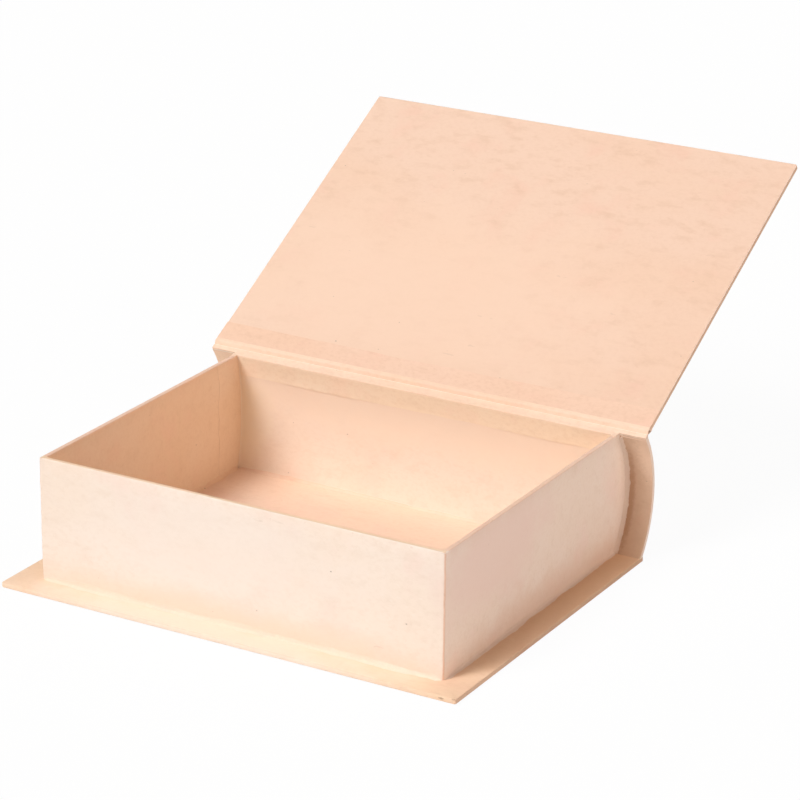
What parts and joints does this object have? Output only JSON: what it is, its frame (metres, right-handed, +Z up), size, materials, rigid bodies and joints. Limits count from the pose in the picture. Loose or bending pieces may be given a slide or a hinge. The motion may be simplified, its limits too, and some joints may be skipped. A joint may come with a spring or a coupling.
{
  "type": "book-shaped box",
  "caption": "Book-shaped keepsake box of paper-covered board: a flat base with a shallow tray on it, a curved spine and a hinged lid that stands open.",
  "frame": {"origin": "centre of the underside of the base, midway along the spine and midway between the base's front and back edges", "axes": "+X along the spine to the right as seen from the opening edge, +Y from the opening edge to the spine, +Z up; the lid stands open as pictured"},
  "size_m": [0.2, 0.2862, 0.1289],
  "materials": {
    "bare_board": "matt",
    "kraft_paper": "matt",
    "lining_paper": "matt",
    "strip_paper": "matt"
  },
  "bodies": {
    "box": {"base_board": "bare_board", "base_cover_sheet": "kraft_paper", "flange_sheet": "kraft_paper", "floor_liner": "lining_paper", "front_wall_board": "bare_board", "left_wall_board": "bare_board", "right_wall_board": "bare_board", "rear_wall_board": "bare_board", "wall_wrap": "kraft_paper", "front_wall_liner": "lining_paper", "left_wall_liner": "lining_paper", "right_wall_liner": "lining_paper", "rear_wall_liner": "lining_paper", "spine_board": "bare_board", "spine_cover_sheet": "kraft_paper", "spine_liner": "lining_paper", "corner_stay_front_left": "strip_paper", "corner_stay_front_right": "strip_paper", "corner_stay_rear_left": "strip_paper", "corner_stay_rear_right": "strip_paper", "floor_strip_front": "strip_paper", "floor_strip_left": "strip_paper", "floor_strip_right": "strip_paper", "floor_strip_rear": "strip_paper", "foot_strip_front": "strip_paper", "foot_strip_left": "strip_paper", "foot_strip_right": "strip_paper", "joint_strip_left": "strip_paper", "joint_strip_right": "strip_paper", "hinge_strip_spine_leaf": "strip_paper"},
    "lid": {"hinge_crease": "strip_paper", "lid_board": "bare_board", "lid_cover_sheet": "kraft_paper", "lid_liner": "lining_paper", "hinge_strip_lid_leaf": "strip_paper"}
  },
  "joints": [
    {"name": "lid_hinge", "type": "hinge", "parent": "box", "child": "lid", "pos_m": [0, 0.0755, 0.05336], "axis": [-1, 0, 0], "range_deg": [-151, 48], "deforming": ["hinge_crease"]}
  ]
}
